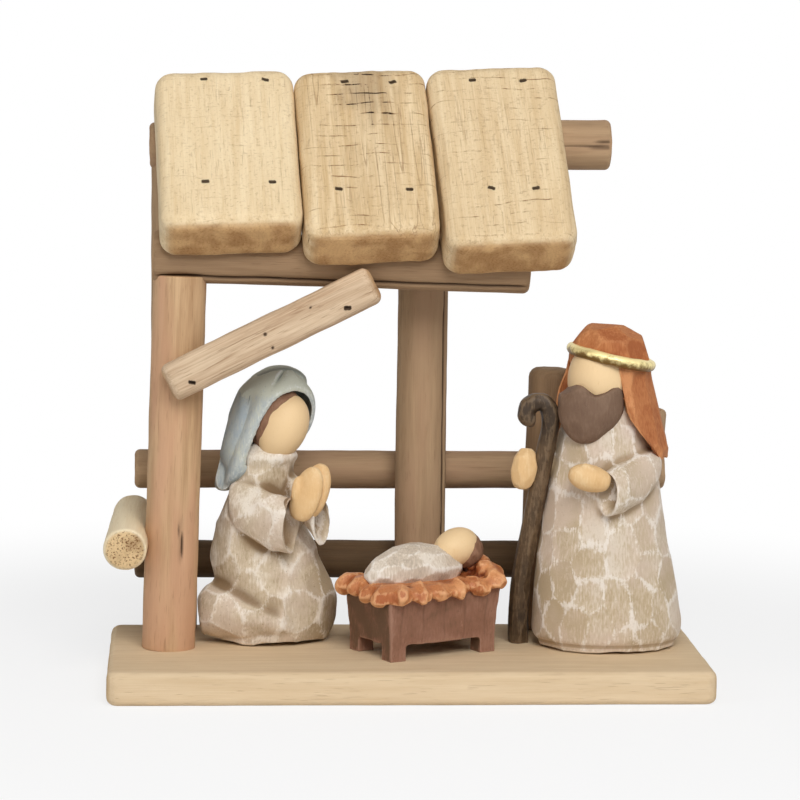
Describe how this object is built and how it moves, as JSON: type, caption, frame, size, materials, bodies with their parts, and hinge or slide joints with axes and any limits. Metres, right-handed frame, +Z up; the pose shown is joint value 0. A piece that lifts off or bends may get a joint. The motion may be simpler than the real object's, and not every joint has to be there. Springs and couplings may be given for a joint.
{
  "type": "nativity ornament",
  "caption": "Free-standing shelf nativity: nailed stick and board stable on a base board, with a kneeling figure, an infant in a manger and a standing figure with a staff.",
  "frame": {"origin": "centre of the base board's underside, on the surface that the ornament stands on", "axes": "+X to the right seen from the front, +Y to the back, +Z up"},
  "size_m": [0.1814, 0.086, 0.1862],
  "materials": {
    "pale_board": "sanded, bare",
    "sawn_board": "rough sawn, bare",
    "peeled_stick": "peeled, bare",
    "split_batten": "split, bare",
    "brad_steel": "dark, slightly rusted",
    "screw_steel": "zinc plated",
    "painted_resin": "matt paint, dry-brushed",
    "staff_resin": "matt dark brown paint",
    "manger_resin": "matt brown paint",
    "straw_resin": "matt orange paint",
    "swaddle_resin": "matt off-white paint, dry-brushed"
  },
  "bodies": {
    "root": {"base_board": "pale_board", "front_left_post": "peeled_stick", "rear_left_post": "peeled_stick", "rear_centre_post": "peeled_stick", "inner_fence_post": "peeled_stick", "end_fence_post": "peeled_stick", "front_beam": "peeled_stick", "rear_purlin": "peeled_stick", "roof_board_left": "sawn_board", "roof_board_middle": "sawn_board", "roof_board_right": "sawn_board", "knee_brace": "split_batten", "upper_rail": "peeled_stick", "lower_rail": "peeled_stick", "side_rail": "split_batten", "roof_brads": "brad_steel", "log_brads": "brad_steel", "brace_brads": "brad_steel", "rail_brads": "brad_steel", "side_rail_brads": "brad_steel", "post_screws": "screw_steel", "kneeling_figure": "painted_resin", "standing_figure": "painted_resin", "crook_staff": "staff_resin", "manger": "manger_resin", "straw_bed": "straw_resin", "infant": "swaddle_resin"}
  },
  "joints": []
}
